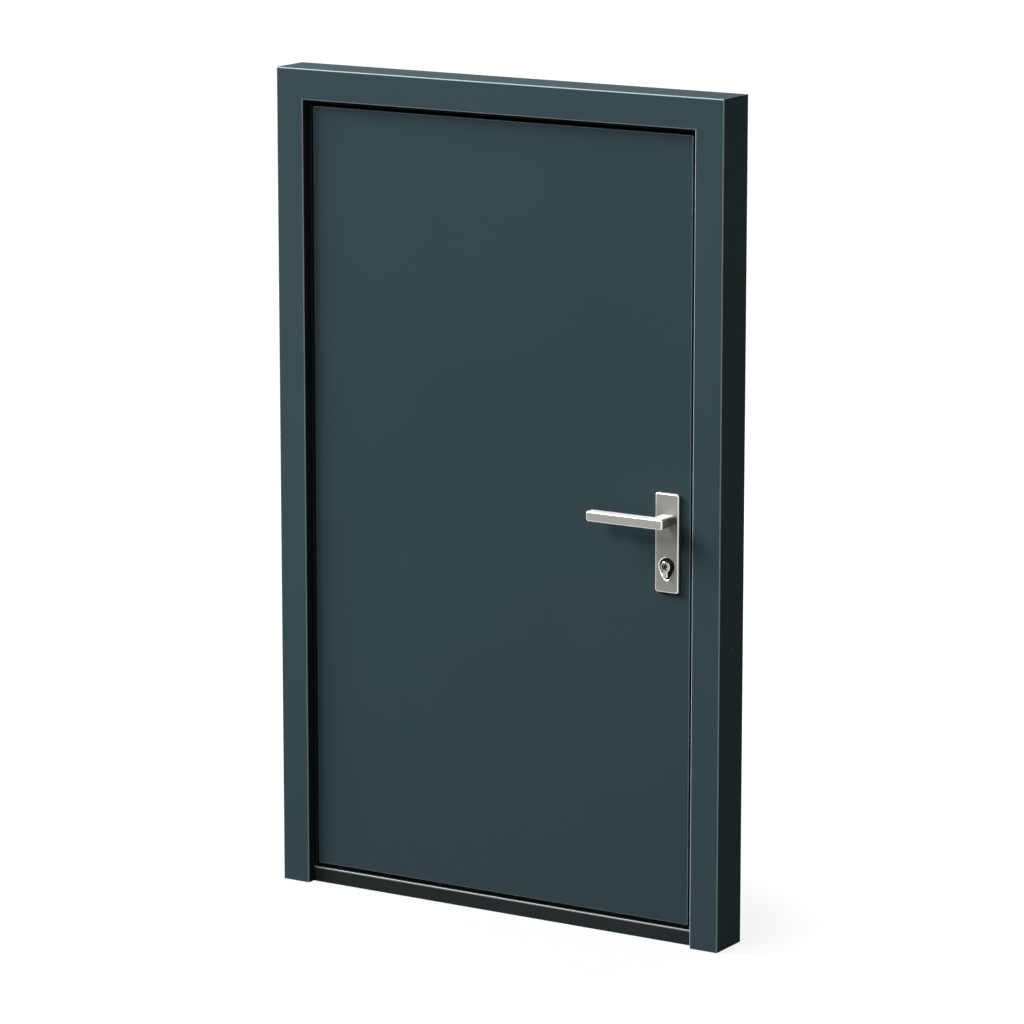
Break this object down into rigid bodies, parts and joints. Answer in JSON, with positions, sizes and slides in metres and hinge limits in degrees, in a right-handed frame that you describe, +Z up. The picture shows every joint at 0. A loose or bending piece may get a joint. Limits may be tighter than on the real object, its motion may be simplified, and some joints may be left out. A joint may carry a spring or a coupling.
{
  "type": "aluminium front door",
  "caption": "Flush aluminium front door leaf in a mitred frame with low threshold, inward opening on barrel hinges, with long handle plates, levers and a lock cylinder.",
  "frame": {"origin": "on the threshold's underside at floor level, at mid width and mid depth of the frame", "axes": "+X right as seen from outside, +Y inward through the doorway, +Z up"},
  "size_m": [1.28, 0.251, 2.1],
  "materials": {
    "powder_coat": "anthracite blue-grey powder coat, satin",
    "gasket": "black rubber",
    "threshold_base": "dark insulating profile",
    "tread": "natural anodised",
    "stainless": "brushed stainless steel",
    "lock_steel": "ground stainless steel",
    "cylinder": "nickel plated brass",
    "guard": "dark steel",
    "hinge": "powder coated",
    "hinge_pin": "steel"
  },
  "bodies": {
    "frame": {"hinge_jamb": "powder_coat", "lock_jamb": "powder_coat", "frame_head": "powder_coat", "hinge_side_gasket": "gasket", "lock_side_gasket": "gasket", "head_gasket": "gasket", "threshold_base": "threshold_base", "threshold_tread": "tread", "threshold_insert": "gasket", "lower_strike_plate": "lock_steel", "strike_plate": "lock_steel", "upper_strike_plate": "lock_steel", "lower_hinge_frame_wing": "hinge", "middle_hinge_frame_wing": "hinge", "upper_hinge_frame_wing": "hinge", "lower_hinge_pin": "hinge_pin", "middle_hinge_pin": "hinge_pin", "upper_hinge_pin": "hinge_pin"},
    "leaf": {"outer_skin": "powder_coat", "inner_skin": "powder_coat", "hinge_stile": "powder_coat", "lock_stile": "powder_coat", "top_rail": "powder_coat", "bottom_rail": "powder_coat", "bottom_seal": "gasket", "lock_faceplate": "lock_steel", "latch_bolt": "lock_steel", "dead_bolt": "lock_steel", "lower_hook_bolt": "lock_steel", "upper_hook_bolt": "lock_steel", "outside_plate": "stainless", "inside_plate": "stainless", "outside_cylinder_guard": "guard", "inside_cylinder_guard": "guard", "lock_cylinder": "cylinder", "outside_cylinder_plug": "cylinder", "inside_cylinder_plug": "cylinder", "lower_hinge_leaf_wing": "hinge", "middle_hinge_leaf_wing": "hinge", "upper_hinge_leaf_wing": "hinge"},
    "lever": {"outside_lever_grip": "stainless", "outside_lever_neck": "stainless", "inside_lever_grip": "stainless", "inside_lever_neck": "stainless", "lever_spindle": "lock_steel"}
  },
  "joints": [
    {"name": "leaf_swing", "type": "hinge", "parent": "frame", "child": "leaf", "pos_m": [-0.584, 0.076, 1.04], "axis": [0, 0, 1], "range_deg": [0, 110]},
    {"name": "lever_turn", "type": "hinge", "parent": "leaf", "child": "lever", "pos_m": [0.485, 0.0105, 1.066], "axis": [0, -1, 0], "range_deg": [0, 45], "stiffness_Nm_per_rad": 2, "springref_deg": -22.92}
  ]
}
